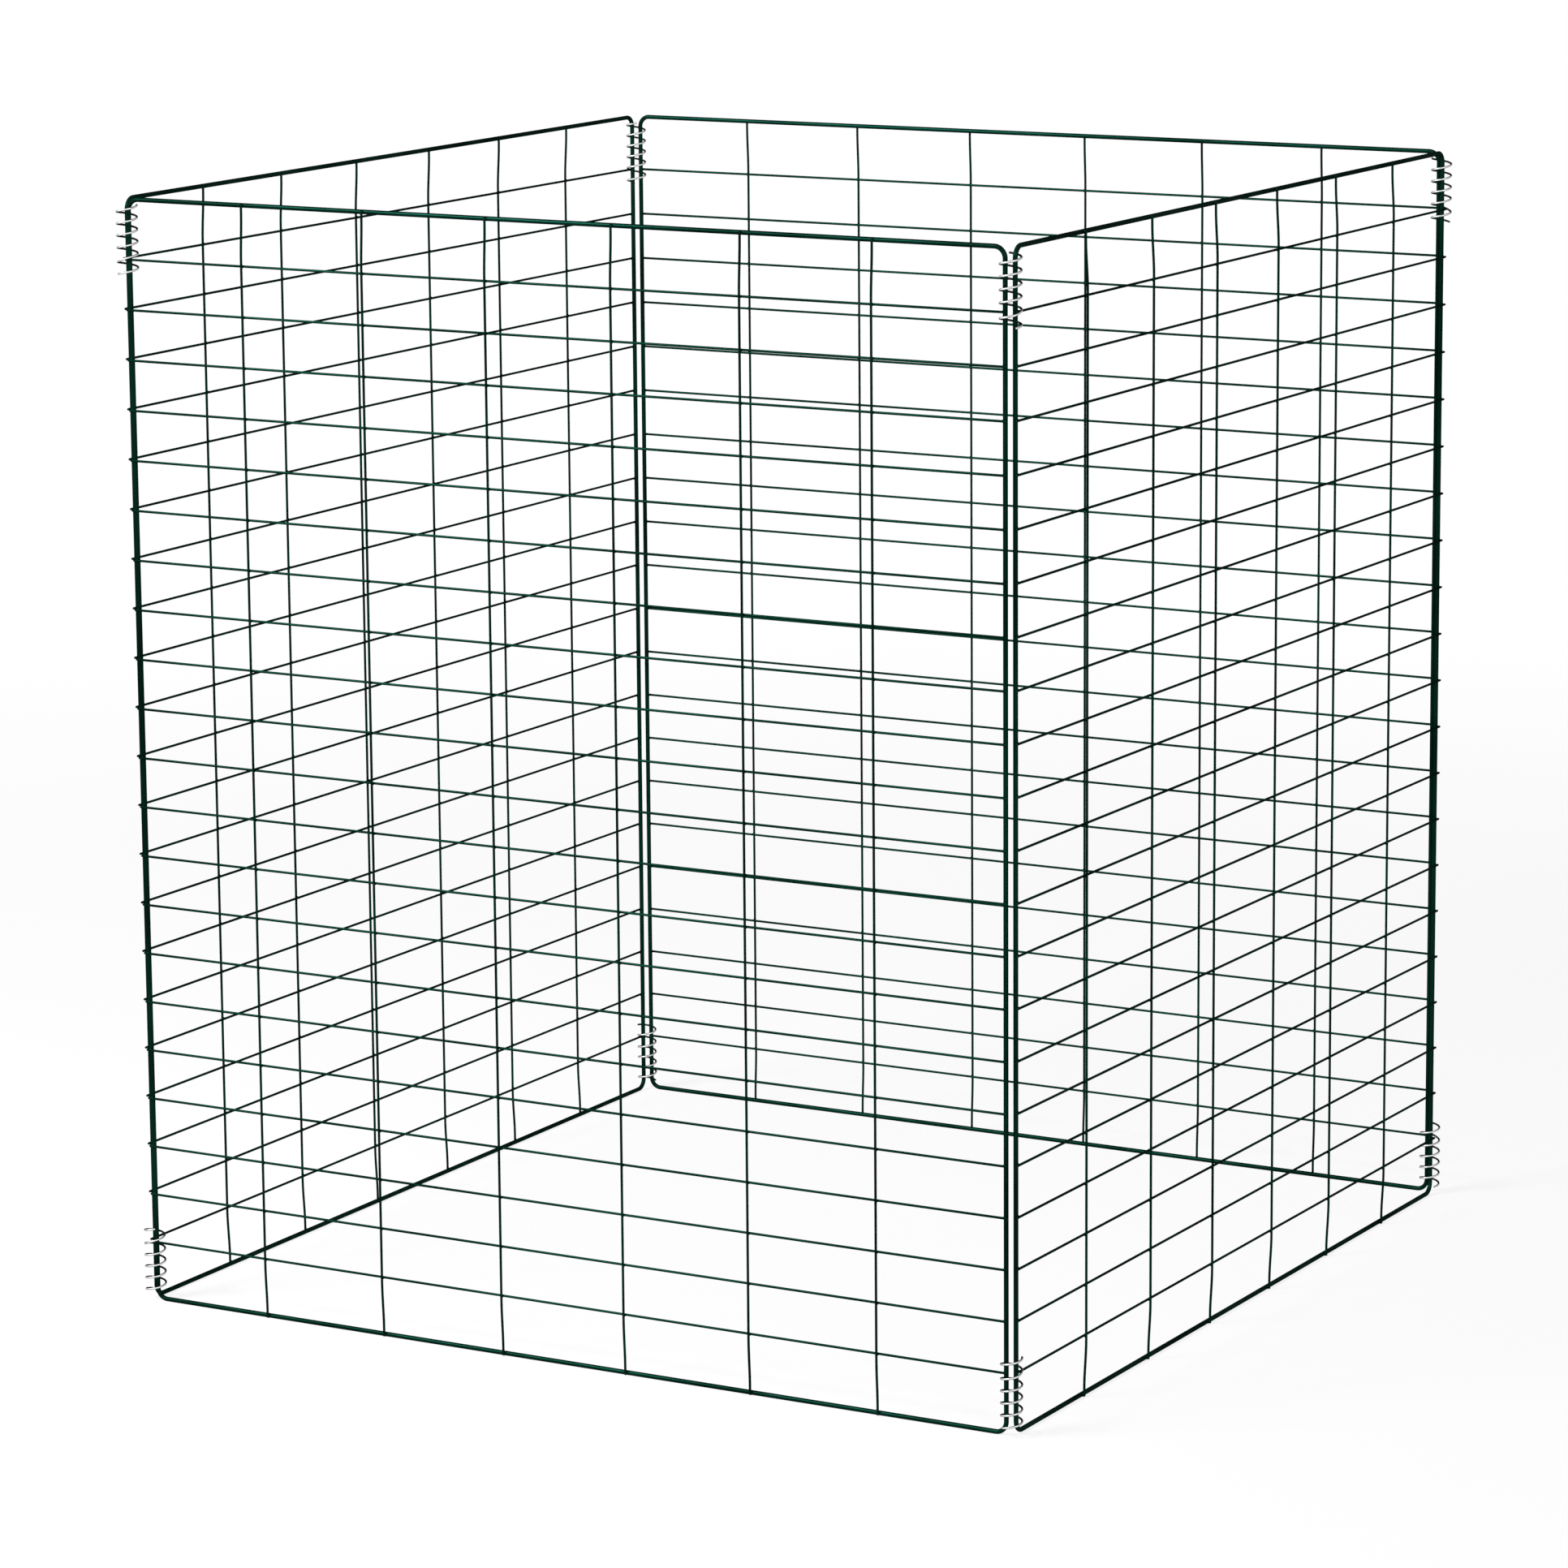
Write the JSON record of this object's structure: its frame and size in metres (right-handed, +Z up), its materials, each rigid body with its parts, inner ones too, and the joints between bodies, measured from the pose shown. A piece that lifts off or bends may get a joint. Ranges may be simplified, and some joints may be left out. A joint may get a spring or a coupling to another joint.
{
  "type": "wire compost bin",
  "caption": "Square open bin of welded wire panels in coated frame wire, hinged at the corners by spiral clips so that it folds flat.",
  "frame": {"origin": "on the ground at the middle of the bin's square plan", "axes": "+Z up; -Y towards the front panel, +X towards the right panel, seen from the front"},
  "size_m": [0.8146, 0.8146, 0.914],
  "materials": {
    "green_coating": "glossy dark green coating on steel wire",
    "zinc_plating": "bright zinc plated spring wire"
  },
  "bodies": {
    "back_panel": {"back_frame": "green_coating", "back_upright_1": "green_coating", "back_upright_2": "green_coating", "back_upright_3": "green_coating", "back_upright_4": "green_coating", "back_upright_5": "green_coating", "back_upright_6": "green_coating", "back_right_top_clip": "zinc_plating", "back_right_bottom_clip": "zinc_plating"},
    "left_panel": {"left_frame": "green_coating", "left_upright_1": "green_coating", "left_upright_2": "green_coating", "left_upright_3": "green_coating", "left_upright_4": "green_coating", "left_upright_5": "green_coating", "left_upright_6": "green_coating", "back_left_top_clip": "zinc_plating", "back_left_bottom_clip": "zinc_plating"},
    "front_panel": {"front_frame": "green_coating", "front_upright_1": "green_coating", "front_upright_2": "green_coating", "front_upright_3": "green_coating", "front_upright_4": "green_coating", "front_upright_5": "green_coating", "front_upright_6": "green_coating", "front_left_top_clip": "zinc_plating", "front_left_bottom_clip": "zinc_plating"},
    "right_panel": {"right_frame": "green_coating", "right_upright_1": "green_coating", "right_upright_2": "green_coating", "right_upright_3": "green_coating", "right_upright_4": "green_coating", "right_upright_5": "green_coating", "right_upright_6": "green_coating", "front_right_top_clip": "zinc_plating", "front_right_bottom_clip": "zinc_plating"}
  },
  "joints": [
    {"name": "left_fold", "type": "hinge", "parent": "back_panel", "child": "left_panel", "pos_m": [-0.398, 0.398, 0.457], "axis": [0, 0, 1], "range_deg": [-87, 87]},
    {"name": "front_fold", "type": "hinge", "parent": "left_panel", "child": "front_panel", "pos_m": [-0.398, -0.398, 0.457], "axis": [0, 0, 1], "range_deg": [-87, 87]},
    {"name": "right_fold", "type": "hinge", "parent": "back_panel", "child": "right_panel", "pos_m": [0.398, 0.398, 0.457], "axis": [0, 0, 1], "range_deg": [-87, 87]}
  ],
  "couplings": [
    {"joint": "front_fold", "follows": "left_fold", "ratio": -1},
    {"joint": "right_fold", "follows": "left_fold", "ratio": 1}
  ]
}
